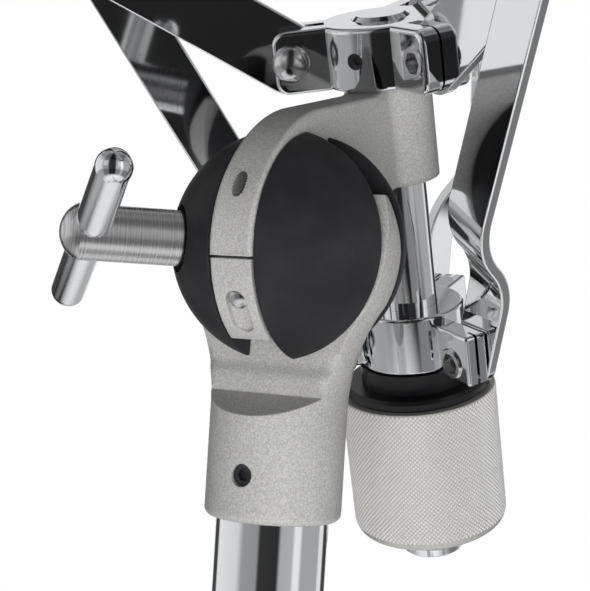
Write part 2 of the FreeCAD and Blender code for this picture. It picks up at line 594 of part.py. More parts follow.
def clamping_bolt():
    """The bolt that squeezes the ball, and the cross bar in its end."""
    tail = "-core_od / 2 - 2 - insert_depth - 1"
    shoulder = "t_bolt_seat + side_gap"
    dome = "t_bolt_od / 2"
    bolt = turned("t_bolt_whole", [
        (0, tail), ("screw_od / 2 - 1", tail), ("screw_od / 2", f"{tail} + 1"), ("screw_od / 2", shoulder),
        ("t_bolt_od / 2 - 0.5", shoulder), ("t_bolt_od / 2", f"{shoulder} + 0.5"),
        ("t_bolt_od / 2", f"t_bolt_reach - {dome} * 0.6"), (0, "t_bolt_reach", f"{dome} * 1.133333", 1)])
    across = Rotation(Z, 180 - dim("t_bar_turn")) * ALONG_X
    hole = placed(group("t_bar_hole", rod("t_bar_hole_tool", "t_bar_od + 2 * seat_fit", "t_bar_length",
                                          (0, 0, "-t_bar_length / 2"))),
                  Placement(Vector(0, 0, dim("t_bar_at")), across))
    node("t_bolt", cut("t_bolt", bolt, hole), TILTER * BOLT)
    straight = "t_bar_length / 2 - t_bar_od / 2"
    bar_body = turned("t_bar", [(0, "-t_bar_length / 2"),
                                ("t_bar_od / 2", f"-({straight})", "t_bar_od / 2", 1),
                                ("t_bar_od / 2", straight), (0, "t_bar_length / 2", "t_bar_od / 2", 1)])
    node("t_bar", bar_body, TILTER * BOLT * Placement(Vector(0, 0, dim("t_bar_at")), across))


def sector(name, start, end):
    """A wedge of the tilt plane between two angles, from the front horizon upwards."""
    far = 2 * dim("ring_od")
    corners = [(0, 0)]
    for step in range(4):
        y, z = polar(far, start + (end - start) * step / 3)
        corners.append((-y, z))
    return pad(name, "YZ_Plane", corners, "2 * ring_od")


def tilter_arm():
    """The upper casting: a ring plate in the ball's slot, an arm over the ball and the socket of the post."""
    ring = dim("ring_od") / 2
    off_y, off_z = polar(ring, dim("arm_take_off"))
    back = dim("post_offset") - dim("post_socket_od") / 3
    low, neck = dim("post_socket_low"), dim("arm_neck")
    neck_y = math.sqrt((ring + neck) ** 2 - (low - neck) ** 2)
    meet = ring / (ring + neck)
    hub_side, under_hub = value_of("post_offset - hub_od / 2 - 1"), value_of("post_socket_top - side_gap")
    plate = pad("ring_plate", "YZ_Plane", [
        (-off_y, off_z, ring, -1), ("arm_top_at", "arm_top", "arm_bend", -1), (hub_side, under_hub),
        (back, under_hub), (back, low),
        (neck_y, low), (neck_y * meet, (low - neck) * meet, neck, 1), (0, -ring, ring, -1),
        (-ring, 0, ring, -1)],
        "ring_thick")
    softened = rounded("ring_softened", plate, "ring_edge", on_ring_edge)
    socket = rod("ring_socket", "post_socket_od", "post_socket_top - post_socket_low",
                 (0, "post_offset", "post_socket_low"))
    hole = rod("ring_hole", "bore_od", "2 * ring_thick", ("-ring_thick", 0, 0), ALONG_X)
    bore = rod("ring_post_bore", "post_od + 2 * seat_fit", "ring_od * 2", (0, "post_offset", "-ring_od"))
    mouth = sector("ring_mouth", dim("ring_split"), dim("ring_end") - 180)
    node("tilter_arm", cut("tilter_arm", fused("arm_whole", softened, socket), hole, bore, mouth), BASKET)

    plate = rod("clip_plate", "clip_od", "ring_thick - 0.6", ("-ring_thick / 2 + 0.3", 0, 0), ALONG_X)
    hole = rod("clip_hole", "bore_od", "2 * ring_thick", ("-ring_thick", 0, 0), ALONG_X)
    reach = sector("clip_reach", dim("ring_split") - dim("clip_split"), -dim("ring_end"))
    facing = Placement(ORIGIN, Rotation(X, dim("slot_angle")))
    half = "(slot_length - slot_width) / 2"
    floor = "-clip_od / 2 + slot_depth"
    tools = [rod(f"clip_slot_end_{n}", "slot_width", "slot_depth * 3",
                 (0, f"-clip_od / 2 - 2 * slot_depth", f"{sign} * {half}"),
                 ALONG_Y) for n, sign in enumerate((-1, 1))]
    middle = block("clip_slot_middle", "slot_width", "slot_depth * 3", f"2 * {half}",
                   ("-slot_width / 2", "-clip_od / 2 - 2 * slot_depth", f"-({half})"))
    slot = placed(fused("clip_slot", middle, *tools), facing)
    node("band_clip", cut("band_clip", shared("clip_form", plate, reach), hole, slot), BASKET)

    screw = turned("band_screw", [(0, 0), ("clip_screw_od / 2", 0), ("clip_screw_od / 2", 0.7),
                                  (0, 1.4, "(clip_screw_od^2 / 4 + 0.49) / 1.4", 1)])
    seat = BASKET * facing * Placement(Vector(0, value_of(floor), value_of(half) - 0.2), Rotation(X, 90))
    node("band_screw", screw, seat)


def on_ring_edge(edge):
    """The outline of the ring and arm on both faces of the plate, up to the socket."""
    points = [vertex.Point for vertex in edge.Vertexes]
    back = dim("post_offset") - dim("post_socket_od") / 3
    on_face = all(abs(abs(point.x) - dim("ring_thick") / 2) < 0.01 for point in points)
    return on_face and not all(abs(point.y - back) < 0.01 for point in points)


def arm_frame(index):
    return about_z(dim("basket_turn") + 120 * index)


HUB = POST * Placement(Vector(0, 0, dim("post_socket_top") + dim("hub_height") / 2), Rotation())
LOWER_HUB = POST * Placement(Vector(0, 0, -dim("lower_hub_at")), Rotation())
LOWER_PIVOTS = LOWER_HUB * Placement(Vector(0, 0, -dim("lower_pivot_drop")), Rotation())
HUB_SPAN = value_of("post_socket_top + hub_height / 2 + lower_hub_at + lower_pivot_drop")


DOME = "(rivet_od^2 / 4 + rivet_rise^2) / (2 * rivet_rise)"


def screw_pin(name, low, high, out, index):
    """A pivot screw across an arm's plane: a domed head on one side and a hexagon socket on the other."""
    under = f"{low} - socket_head"
    whole = turned(name + "_whole", [
        (0, under), ("socket_head_od / 2 - socket_head / 2", under),
        ("socket_head_od / 2", f"{low} - socket_head / 2"),
        ("socket_head_od / 2", low), ("arm_pin_od / 2", low),
        ("arm_pin_od / 2", high), ("rivet_od / 2", high), (0, f"{high} + rivet_rise", DOME, 1)])
    socket = hexagon(name + "_hex", "hex_size", "hex_depth + 1", (0, 0, f"{under} - 1"))
    return placed(cut(name, whole, socket), arm_frame(index) * Placement(Vector(dim(out), 0, 0), ALONG_Y))


def rivet_dome(name, out, side, turn):
    """The domed end of a rivet on one face of a flat bar."""
    cap = turned(name + "_cap",
                 [(0, -0.5), ("rivet_od / 2", -0.5), ("rivet_od / 2", 0), (0, "rivet_rise", DOME, 1)])
    return placed(group(name, cap), Placement(Vector(out, side, 0), turn))


def post_and_hubs():
    """The basket's post, the fixed upper hub, the sliding lower hub and their screws."""
    post = turned("basket_post", [
        (0, "-stud_end"), ("stud_od / 2 - 1", "-stud_end"), ("stud_od / 2", "1 - stud_end"),
        ("stud_od / 2", "-stud_top"),
        ("post_od / 2", "-stud_top"), ("post_od / 2", "post_top - 1.2"), ("post_od / 2 - 1.2", "post_top"),
        (0, "post_top")])
    node("basket_post", post, POST)

    ring = rounded("hub_ring_soft", rod("hub_ring", "hub_od", "hub_height", (0, 0, "-hub_height / 2")),
                   "hub_edge", on_rim)
    lugs, cuts = [], []
    for i in range(len(ARMS)):
        tongue = block(f"hub_lug_{i}", "pivot_out + hub_lug_end", "hub_lug", "hub_height",
                       (0, "-hub_lug / 2", "-hub_height / 2"))
        blunt = rounded(f"hub_lug_blunt_{i}", tongue, "hub_lug_end * 0.8", on_lug_tip)
        softened = rounded(f"hub_lug_soft_{i}", blunt, "hub_edge", on_lug_cheek)
        lugs.append(placed(group(f"hub_lug_whole_{i}", softened), arm_frame(i)))
        slot = block(f"hub_slot_{i}", "pivot_out * 2", "arm_thick + 2 * side_gap", "hub_height * 2",
                     ("pivot_out - arm_width / 2 - side_gap", "-arm_thick / 2 - side_gap", "-hub_height"))
        pin_hole = cross_hole(f"hub_pin_hole_{i}", "arm_pin_od + 2 * seat_fit", "pivot_out", "hub_lug")
        cuts.append(placed(fused(f"hub_cut_{i}", slot, pin_hole), arm_frame(i)))
    bore = rod("hub_bore", "post_od + 2 * seat_fit", "hub_height * 4", (0, 0, "-2 * hub_height"))
    screw_hole = placed(group("hub_screw_hole",
                              rod("hub_screw_hole_tool", "set_screw_od - 1 + 2 * seat_fit", "hub_od")),
                        about_z(dim("basket_turn") + 60) * Placement(ORIGIN, ALONG_X))
    node("upper_hub", cut("upper_hub", fused("hub_whole", ring, *lugs), bore, screw_hole, *cuts), HUB)
    reach = "hub_od / 2 - post_od / 2 - 1.5"
    screw = cut("hub_set_screw", rod("hub_set_screw_body", "set_screw_od - 1", reach),
                hexagon("hub_set_screw_hex", "hex_size / 2 - 0.3", 2, (0, 0, f"{reach} - 1.2")))
    facing = about_z(dim("basket_turn") + 60) * Placement(ORIGIN, ALONG_X)
    node("hub_set_screw", screw,
         HUB * facing * Placement(Vector(0, 0, value_of("post_od / 2 + seat_fit")), Rotation()))
    pins = [screw_pin(f"arm_pin_{i}", "-hub_lug / 2", "hub_lug / 2", "pivot_out",
                      i) for i in range(len(ARMS))]
    node("arm_pins", group("arm_pins", *pins), HUB)

    ring = rounded("lower_ring_soft", rod("lower_ring", "lower_hub_od", "lower_hub_height",
                                          (0, 0, "-lower_hub_height / 2")), "lower_edge", on_rim)
    lugs, cuts = [], []
    for i in range(len(ARMS)):
        tongue = block(f"lower_lug_{i}", "lower_lug_end", "lower_lug", "lower_lug_height",
                       (0, "-lower_lug / 2", "-lower_lug_height / 2 - lower_lug_drop"))
        softened = rounded(f"lower_lug_soft_{i}", tongue, "lower_edge", on_lug_end)
        lugs.append(placed(group(f"lower_lug_whole_{i}", softened), arm_frame(i)))
        hole = cross_hole(f"lower_pin_hole_{i}", "arm_pin_od + 2 * seat_fit", "lower_pivot_out",
                          "lower_lug")
        hole.setExpression("Placement.Base.z", bound("-lower_pivot_drop"))
        slit = block(f"lower_slit_{i}", "lower_lug_end", "lug_slit", "2 * lower_lug_height",
                     ("lower_lug_end - lug_slit_depth", "-lug_slit / 2",
                      "-lower_lug_height - lower_lug_drop"))
        cuts.append(placed(group(f"lower_cut_{i}", hole, slit), arm_frame(i)))
    bore = rod("lower_bore", "post_od + 2 * run_fit", "lower_hub_height * 4",
               (0, 0, "-2 * lower_hub_height"))
    node("lower_hub", cut("lower_hub", fused("lower_whole", ring, *lugs), bore, *cuts), LOWER_HUB)
    outer = "lower_lug / 2 + 2 * side_gap + strut_thick"
    pins = [screw_pin(f"strut_screw_{i}", "-lower_lug / 2", outer, "lower_pivot_out",
                      i) for i in range(len(ARMS))]
    node("strut_screws", group("strut_screws", *pins), LOWER_PIVOTS)

    low, high = "-nut_top + seat_fit", "-lower_hub_at - lower_hub_height / 2 - seat_fit"
    inside = "post_od / 2 + run_fit"
    flange = f"{low} + washer_height"
    washer = turned("rubber_washer",
                    [(inside, low), ("washer_od / 2 - 0.8", low), ("washer_od / 2", f"{low} + 0.8"),
                                      ("washer_od / 2", f"{flange} - 0.8"), ("washer_od / 2 - 0.8", flange),
                                      ("washer_boss_od / 2", flange), ("washer_boss_od / 2", high),
                                      (inside, high)])
    node("rubber_washer", washer, POST)

    thread, wide, edge = "stud_od / 2 + run_fit", "post_od / 2 + 4 * run_fit", "nut_od / 2"
    nut = turned("basket_nut", [
        (thread, "-nut_end"), (f"{edge} - nut_round", "-nut_end"),
        (edge, "nut_round - nut_end", "nut_round", 1),
        (edge, "-nut_top - 1"), (f"{edge} - 1", "-nut_top"), (wide, "-nut_top"),
        (wide, "-nut_top - nut_counterbore"),
        (thread, "-nut_top - nut_counterbore")])
    node("basket_nut", nut, POST)


def on_lug_tip(edge):
    """The two edges across a lug at its outer end."""
    return all(abs(vertex.X - value_of("pivot_out + hub_lug_end")) < 0.01 for vertex in edge.Vertexes) \
        and abs(edge.Length - dim("hub_lug")) < 0.01


def on_rim(edge):
    """The two round edges of a ring."""
    return len(edge.Vertexes) == 1


def on_lug_cheek(edge):
    """The edges round a lug's two side faces, up to the ring."""
    sides = {round(vertex.Y, 3) for vertex in edge.Vertexes}
    return len(sides) == 1 and any(vertex.X > 0.01 for vertex in edge.Vertexes)


def on_lug_end(edge):
    """All edges of a lower lug but those inside the ring."""
    return any(vertex.X > 0.01 for vertex in edge.Vertexes)


RISE = math.radians(dim("arm_rise"))
MEET_OUT = dim("strut_reach") * math.cos(RISE) + dim("pivot_out") - dim("lower_pivot_out")
MEET_UP = dim("strut_reach") * math.sin(RISE) + HUB_SPAN
STRUT_LENGTH = math.hypot(MEET_OUT, MEET_UP)
STRUT_ANGLE = math.degrees(math.atan2(MEET_UP, MEET_OUT))


def strut_outline():
    """The edge of a strut: from the lug's side across a joggle, then leaning back to the arm's side."""
    thick, run, start = dim("strut_thick"), dim("joggle_run"), dim("joggle_from")
    first = value_of("lower_lug / 2 + side_gap + strut_thick / 2")
    last = -value_of("arm_thick / 2 + side_gap + strut_thick / 2")
    deep = last - dim("strut_lean")
    drop = first - deep
    bend = (run ** 2 + drop ** 2) / (4 * drop)
    slope = 2 * math.atan2(drop, run)
    middle = (start + run / 2, (first + deep) / 2)
    shift = (math.sin(slope) * thick / 2, math.cos(slope) * thick / 2)
    tail, end = -dim("strut_width") / 2, STRUT_LENGTH + dim("strut_width") / 2
    level = STRUT_LENGTH - dim("strut_width")
    above = [(start, first + thick / 2), (middle[0] + shift[0], middle[1] + shift[1], bend + thick / 2, -1),
             (start + run, deep + thick / 2, bend - thick / 2, 1), (level, last + thick / 2),
             (end, last + thick / 2)]
    below = [(end, last - thick / 2), (level, last - thick / 2), (start + run, deep - thick / 2),
             (middle[0] - shift[0], middle[1] - shift[1], bend + thick / 2, -1),
             (start, first - thick / 2, bend - thick / 2, 1), (tail, first - thick / 2),
             (tail, first + thick / 2)]
    return above + below


def at_strut_tail(edge):
    """The short edges across a strut's thickness at its lower end."""
    return across_strut(edge, -dim("strut_width") / 2)


def at_strut_tip(edge):
    """The short edges across a strut's thickness at its upper end."""
    return across_strut(edge, STRUT_LENGTH + dim("strut_width") / 2)


def across_strut(edge, along):
    at_end = all(abs(vertex.X - along) < 0.01 for vertex in edge.Vertexes)
    return at_end and abs(edge.Length - dim("strut_thick")) < 0.01


def along_strut(edge):
    """The edges between a strut's broad faces and its sides, not those across its thickness or its bends."""
    run = edge.Vertexes[-1].Point - edge.Vertexes[0].Point
    through = abs(run.y) > 0.99 * run.Length
    over_bend = abs(run.z) > 0.99 * run.Length and run.Length > dim("strut_width") - 0.1
    return not through and not over_bend


def on_bar_face(edge):
    """The outline of a bar on each of its two faces."""
    return len({round(vertex.Y, 3) for vertex in edge.Vertexes}) == 1


def basket_arms():
    """Three arms with rubber grips and the struts that push them."""
    for i, letter in enumerate(ARMS):
        pivot = HUB * arm_frame(i) * Placement(Vector(dim("pivot_out"), 0, 0),
                                               Rotation(Y, -dim("arm_rise")))
        tip = Placement(Vector(dim("arm_length"), 0, 0), Rotation(Y, dim("arm_rise") - 90))
        strip = rounded(f"arm_strip_soft_{i}",
                        bar(f"arm_strip_{i}", "arm_length", "arm_width", "arm_thick"),
                        "flat_edge", on_bar_face)
        straight = bar(f"arm_finger_{i}", "finger_length", "finger_width", "arm_thick")
        finger = placed(rounded(f"arm_finger_soft_{i}", straight, "flat_edge", on_bar_face), tip)
        hole = cross_hole(f"arm_pin_hole_{i}", "arm_pin_od + 2 * run_fit", 0, "arm_width")
        stub = rivet_dome(f"arm_stub_{i}", dim("strut_reach"), dim("arm_thick") / 2, ALONG_Y)
        arm = cut(f"arm_{letter}", fused(f"arm_whole_{i}", strip, finger, stub), hole)
        node(f"arm_{letter}", arm, pivot)

        plain = bar(f"grip_sleeve_{i}", "grip_length - grip_width / 2", "grip_width", "grip_thick")
        sleeve = rounded(f"grip_soft_{i}", plain, "grip_edge", on_bar_face)
        notch = rod(f"grip_notch_{i}", "grip_notch", "2 * grip_thick",
                    ("grip_length / 2", "-grip_thick", "grip_width / 2"), ALONG_Y)
        mouth = block(f"grip_mouth_{i}", "grip_width", "2 * grip_thick", "grip_width",
                      ("-grip_width", "-grip_thick", "-grip_width / 2"))
        finger_cut = bar(f"grip_finger_{i}", "finger_length - grip_from", "finger_width + 2 * seat_fit",
                         "arm_thick + 2 * seat_fit")
        grip = cut(f"grip_{letter}", sleeve, finger_cut, notch, mouth)
        node(f"grip_{letter}", grip, pivot * tip * Placement(Vector(dim("grip_from"), 0, 0), Rotation()))

        bent = pad(f"strut_bent_{i}", "XY_Plane", strut_outline(), "strut_width")
        tail = rounded(f"strut_tail_{i}", bent, "strut_width / 2 - 0.2", at_strut_tail)
        blunt = rounded(f"strut_blunt_{i}", tail, "strut_width / 6", at_strut_tip)
        ends = rounded(f"strut_ends_{i}", blunt, "flat_edge", along_strut)
        hole = cross_hole(f"strut_hole_{i}", "arm_pin_od + 2 * run_fit", 0, "lower_lug * 2")
        side = -value_of("arm_thick / 2 + side_gap + strut_thick")
        stub = rivet_dome(f"strut_stub_{i}", STRUT_LENGTH, side, Rotation(X, 90))
        strut = cut(f"strut_{letter}", fused(f"strut_whole_{i}", ends, stub), hole)
        node(f"strut_{letter}", strut,
             LOWER_PIVOTS * arm_frame(i) * Placement(Vector(dim("lower_pivot_out"), 0, 0),
                                                     Rotation(Y, -STRUT_ANGLE)))


def main():
    tubes()
    height_clamp()
    tripod()
    tilter_base()
    ball()
    clamping_bolt()
    tilter_arm()
    post_and_hubs()
    basket_arms()
    doc.recompute()
    failed = [item.Name for item in doc.Objects if {"Invalid", "Error"} & set(item.State)]
    if failed:
        raise RuntimeError("features failed: " + ", ".join(failed))
    for label, item in nodes.items():
        if item.Shape.isNull() or not item.Shape.isValid() or not item.Shape.Solids:
            raise RuntimeError(f"{label} has no sound solid")
    os.makedirs("parts", exist_ok=True)
    for label, item in nodes.items():
        item.Shape.exportStep(f"parts/{label}.step")
    print(len(nodes), "sub-parts written")


main()
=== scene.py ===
"""Finishes and fine forms of a snare drum stand with a ball tilter, metres, +Z up.

The stand's solids are loaded as a fixed frame. This add-on gives every solid its finish, models the
knurled nut and the other fine forms, and sets a plain studio round the tilter.
"""
import json
import math

import bpy
from mathutils import Matrix, Vector


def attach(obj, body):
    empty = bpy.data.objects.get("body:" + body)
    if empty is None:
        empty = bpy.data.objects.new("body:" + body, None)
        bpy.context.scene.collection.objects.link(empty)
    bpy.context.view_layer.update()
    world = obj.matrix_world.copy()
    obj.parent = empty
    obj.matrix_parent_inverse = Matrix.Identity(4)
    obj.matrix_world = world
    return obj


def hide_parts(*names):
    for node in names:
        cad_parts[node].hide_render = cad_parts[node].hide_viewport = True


bl_info = {
    "name": "Snare drum stand dressing",
    "version": (1, 0, 0),
    "blender": (4, 5, 0),
    "location": "3D View > Sidebar > Drum Stand",
    "description": "Finishes, knurled nut and studio for a snare drum stand",
    "category": "Object",
}

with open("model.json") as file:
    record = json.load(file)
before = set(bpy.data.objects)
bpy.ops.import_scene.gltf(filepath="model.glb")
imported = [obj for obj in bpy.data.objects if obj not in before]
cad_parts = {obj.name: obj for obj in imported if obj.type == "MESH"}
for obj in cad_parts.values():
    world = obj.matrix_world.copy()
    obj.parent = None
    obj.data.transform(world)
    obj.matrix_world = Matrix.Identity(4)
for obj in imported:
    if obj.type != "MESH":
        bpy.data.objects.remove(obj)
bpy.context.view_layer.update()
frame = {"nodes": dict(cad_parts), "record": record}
JOINTS = {joint["name"]: joint for joint in frame["record"]["behaviour"]["joints"]}
SLOTS = {part["node"]: part["material_slot"] for part in frame["record"]["subparts"]}
BALL = Vector(JOINTS["tilt"]["pos_m"])
POST_AXIS = Vector(JOINTS["basket_close"]["axis"])
NUT_POINT = Vector(JOINTS["nut_spin"]["pos_m"])
TILT_AXIS = Vector(JOINTS["tilt"]["axis"])
BOLT_AXIS = Vector(JOINTS["clamping_bolt_turn"]["axis"])
UP = Vector((0, 0, 1))
TOUCH = 1e-6

# The colour sockets of a Mix node, whose names it shares with its other sockets
MIX_FIRST, MIX_SECOND, MIX_RESULT = 6, 7, 2

# The nut, in heights along the post from the nut's own point
NUT_RADIUS, NUT_ROUND, NUT_EDGE = 0.0205, 0.003, 0.0002
NUT_LOW, NUT_HIGH = -0.0173, 0.022
KNURL_LOW, KNURL_HIGH = -0.0148, 0.0219
STUD_BORE, POST_BORE, COUNTERBORE, BORE_BEVEL = 0.00605, 0.00745, 0.009, 0.001
BOSS_RADIUS, BOSS_DROP, BOSS_TAPER = 0.0082, 0.0011, 0.0003
ROUND_STEPS = 6

# The cap under the nut, and how deep its stem sits in the stud
STUD_END, STEM_SINK = -0.02, 0.0005
CAP_STEM, CAP_RADIUS, CAP_ROUND = 0.005, 0.0082, 0.0004
CAP_HIGH, CAP_LOW = -0.0223, -0.0249
CAP_SIDES = 64

# The serrated pad on the band, by its angle above the front of the ring
BASKET_TILT, SERRATION_ANGLE = 21.5, 48.5
RING_RADIUS, PAD_LIFT = 0.0261, 0.00002
SERRATION_WIDTH, SERRATION_LENGTH, SERRATION_RISE = 0.0032, 0.0062, 0.0004
GROOVE, PAD_END = 0.84, 0.04
PAD_SIDES = 24

# Where the castings' edges are softened most: the neck, by height, and round the post
NECK_LOW, NECK_HIGH = 0.4195, 0.4275
NECK_LOW_FADE, NECK_HIGH_FADE = 0.0015, 0.002
SOCKET_NEAR, SOCKET_FADE = 0.016, 0.003
EDGE_SOFT, NECK_SOFT = 0.0005, 0.0035

# The studio: the floor's fade, the room's level by azimuth, and the lamps,
# each with its place, aim, size, power and whether metal mirrors it
FLOOR_SIZE, FLOOR_FADE = 2, (0.28, 0.56)
ROOM = ((-180, 0.95), (-160, 0.95), (-155, 0.06), (-134, 0.06), (-128, 0.88), (-70, 0.75), (-58, 0.36),
        (-27, 0.32), (-22, 0.04), (15, 0.03), (21, 0.46), (45, 0.5), (50, 0.92), (61, 0.92), (67, 0.42),
        (112, 0.42), (117, 0.85), (129, 0.85), (134, 0.06), (155, 0.06), (160, 0.95), (180, 0.95))
CEILING, CEILING_DIM = (0.3, 0.8), 0.65
GROUND, GROUND_DIM = (0.2, 0.32), 0.5
FILL, FILL_RISE, FILL_DIM = 0.12, (-0.1, 0.5), 0.09
FOOT = Vector((0, 0, 0))
LAMPS = (("front", (0.0, -0.9, 0.2), BALL, 0.5, 6.4, False),
         ("front_left", (-0.75, -0.75, 0.75), BALL, 0.5, 0.2, True),
         ("front_right", (0.7, -0.8, 0.7), BALL, 0.5, 0.2, True),
         ("right", (0.45, -0.8, 0.34), BALL, 0.4, 1.3, False),
         ("back", (-0.25, 1.1, 0.4), BALL, 0.6, 4, False),
         ("above", (0.1, 0.1, 1.5), BALL, 0.8, 0.2, True),
         ("below", (0, 0.001, 0.36), FOOT, 1.2, 5, False))
CAMERA_PLACE = BALL + Vector((0.00203, -0.37, -0.011))
CAMERA_ROLL, CAMERA_LENS, SENSOR_WIDTH = 3.5, 100.7, 36


class StandSizes(bpy.types.PropertyGroup):
    """Sizes of the fine forms."""
    knurl_count: bpy.props.IntProperty(name="Knurl count", description="Diamonds round the nut",
                                       default=108, min=24)
    knurl_rows: bpy.props.IntProperty(name="Knurl rows", description="Half diamonds along the nut",
                                      default=60, min=8)
    knurl_depth: bpy.props.FloatProperty(name="Knurl depth", description="Height of a diamond", default=0.0004,
                                         subtype="DISTANCE", unit="LENGTH", precision=5)
    serration_pitch: bpy.props.FloatProperty(name="Serration pitch", description="Step of the band's ridges",
                                             default=0.0007, subtype="DISTANCE", unit="LENGTH", precision=5)


class StandColours(bpy.types.PropertyGroup):
    """Colours of the finishes and the studio."""
    casting: bpy.props.FloatVectorProperty(name="Casting", description="Bead-blasted alloy", subtype="COLOR",
                                           default=(0.57, 0.565, 0.555), min=0, max=1)
    chrome: bpy.props.FloatVectorProperty(name="Chrome", description="Chrome plate", subtype="COLOR",
                                          default=(0.82, 0.83, 0.85), min=0, max=1)
    ball: bpy.props.FloatVectorProperty(name="Ball", description="Moulded black nylon", subtype="COLOR",
                                        default=(0.022, 0.022, 0.024), min=0, max=1)
    rubber: bpy.props.FloatVectorProperty(name="Rubber", description="Grips and feet", subtype="COLOR",
                                          default=(0.02, 0.02, 0.02), min=0, max=1)
    nut: bpy.props.FloatVectorProperty(name="Nut", description="Satin alloy of the nut", subtype="COLOR",
                                       default=(0.88, 0.865, 0.84), min=0, max=1)
    zinc: bpy.props.FloatVectorProperty(name="Zinc", description="Screws and pins", subtype="COLOR",
                                        default=(0.66, 0.66, 0.67), min=0, max=1)
    steel: bpy.props.FloatVectorProperty(name="Steel", description="Clamping bolt and its bar", subtype="COLOR",
                                         default=(0.56, 0.56, 0.57), min=0, max=1)
    floor: bpy.props.FloatVectorProperty(name="Floor", description="Studio floor", subtype="COLOR",
                                         default=(0.86, 0.86, 0.86), min=0, max=1)


class Flow:
    """A shader socket that takes part in arithmetic: each operator adds the node that works it out."""

    def __init__(self, tree, socket):
        self.tree = tree
        self.socket = socket

    def math(self, operation, *others):
        made = self.tree.nodes.new("ShaderNodeMath")
        made.operation = operation
        for place, value in enumerate((self, *others)):
            if isinstance(value, Flow):
                self.tree.links.new(value.socket, made.inputs[place])
            else:
                made.inputs[place].default_value = value
        return Flow(self.tree, made.outputs[0])

    def __add__(self, other):
        return self.math("ADD", other)

    __radd__ = __add__

    def __mul__(self, other):
        return self.math("MULTIPLY", other)

    __rmul__ = __mul__

    def __rsub__(self, other):
        return (self * -1) + other

    def over(self, low, high):
        """0 below low, 1 above high, smooth between."""
        made = self.tree.nodes.new("ShaderNodeMapRange")
        made.interpolation_type = "SMOOTHSTEP"
        self.tree.links.new(self.socket, made.inputs["Value"])
        made.inputs["From Min"].default_value = low
        made.inputs["From Max"].default_value = high
        return Flow(self.tree, made.outputs["Result"])


class Finish:
    """A material, its node tree and the few calls that build it."""

    def __init__(self, name):
        self.material = bpy.data.materials.new(name)
        self.material.use_nodes = True
        self.tree = self.material.node_tree
        self.tree.nodes.clear()
        self.shader = self.node("ShaderNodeBsdfPrincipled")
        out = self.node("ShaderNodeOutputMaterial")
        self.tree.links.new(self.shader.outputs[0], out.inputs["Surface"])
        self.place = Flow(self.tree, self.node("ShaderNodeTexCoord").outputs["Object"])

    def node(self, kind, settings=None, **inputs):
        """A node with its settings, then the values or links of its sockets."""
        made = self.tree.nodes.new(kind)
        for name, value in (settings or {}).items():
            setattr(made, name, value)
        self.feed(made, inputs)
        return made

    def feed(self, made, inputs):
        """Give a node's sockets, by name, a value or a link each."""
        for name, value in inputs.items():
            socket = made.inputs[name.replace("_", " ")]
            if isinstance(value, Flow):
                self.tree.links.new(value.socket, socket)
            else:
                socket.default_value = value

    def noise(self, scale, detail, rough):
        made = self.node("ShaderNodeTexNoise", Vector=self.place, Scale=scale, Detail=detail, Roughness=rough)
        return Flow(self.tree, made.outputs["Fac"])

    def blend(self, mask, first, second):
        """A colour from the first to the second as the mask rises."""
        made = self.node("ShaderNodeMix", {"data_type": "RGBA"}, Factor=mask)
        made.inputs[MIX_FIRST].default_value = (*first, 1)
        made.inputs[MIX_SECOND].default_value = (*second, 1)
        return Flow(self.tree, made.outputs[MIX_RESULT])

    def bump(self, height, strength, distance, soften=None):
        """Fine relief, over edges that are rounded by a radius if one is given."""
        made = self.node("ShaderNodeBump", Height=height, Strength=strength, Distance=distance)
        if soften is not None:
            edges = self.node("ShaderNodeBevel", {"samples": 8}, Radius=soften)
            self.tree.links.new(edges.outputs[0], made.inputs["Normal"])
        return Flow(self.tree, made.outputs["Normal"])

    def parts(self, vector):
        """The three coordinates of a vector."""
        made = self.node("ShaderNodeSeparateXYZ", Vector=vector)
        return [Flow(self.tree, socket) for socket in made.outputs]

    def along_axis(self, point, axis, side):
        """Coordinates about an axis: two across it and one along it."""
        turn = frame_on(point, axis, side).to_euler()
        local = self.node("ShaderNodeMapping", {"vector_type": "TEXTURE"}, Vector=self.place, Location=point,
                          Rotation=turn)
        return self.parts(Flow(self.tree, local.outputs[0]))

    def off_post(self):
        """Distance from the post's axis."""
        x, y, _ = self.along_axis(NUT_POINT, POST_AXIS, TILT_AXIS)
        return (x * x + y * y).math("SQRT")

    def set(self, **sockets):
        """The finished material, once its shader's sockets are fed."""
        self.feed(self.shader, sockets)
        return self.material


def shade(colour, factor):
    return tuple(min(1.0, channel * factor) for channel in colour)


def casting_finish(colours):
    """Bead-blasted alloy: pale, with fine pits and faint clouds."""
    finish = Finish("bead_blasted_alloy")
    grain = finish.noise(2600, 4, 0.7)
    clouds = finish.noise(70, 3, 0.5)
    speckle = grain.over(0.34, 0.66)
    height = finish.parts(finish.place)[2]
    below = 1 - height.over(NECK_HIGH, NECK_HIGH + NECK_HIGH_FADE)
    neck = height.over(NECK_LOW, NECK_LOW + NECK_LOW_FADE) * below
    post = 1 - finish.off_post().over(SOCKET_NEAR, SOCKET_NEAR + SOCKET_FADE)
    dark, pale = shade(colours.casting, 0.66), shade(colours.casting, 1.28)
    tone = finish.blend(speckle * 0.7 + clouds * 0.3, dark, pale)
    return finish.set(Base_Color=tone, Metallic=0.12, Roughness=0.45 + grain * 0.2, Specular_IOR_Level=0.2,
                      Normal=finish.bump(grain, 0.55, 0.00018, soften=EDGE_SOFT + (neck + post) * NECK_SOFT))


def chrome_finish(colours):
    """Chrome plate: near mirror, with a trace of polishing haze."""
    finish = Finish("chrome_plate")
    haze = finish.noise(55, 3, 0.55)
    tone = finish.blend(haze, shade(colours.chrome, 0.94), shade(colours.chrome, 1.04))
    return finish.set(Base_Color=tone, Metallic=1.0, Roughness=0.02 + haze * 0.07)


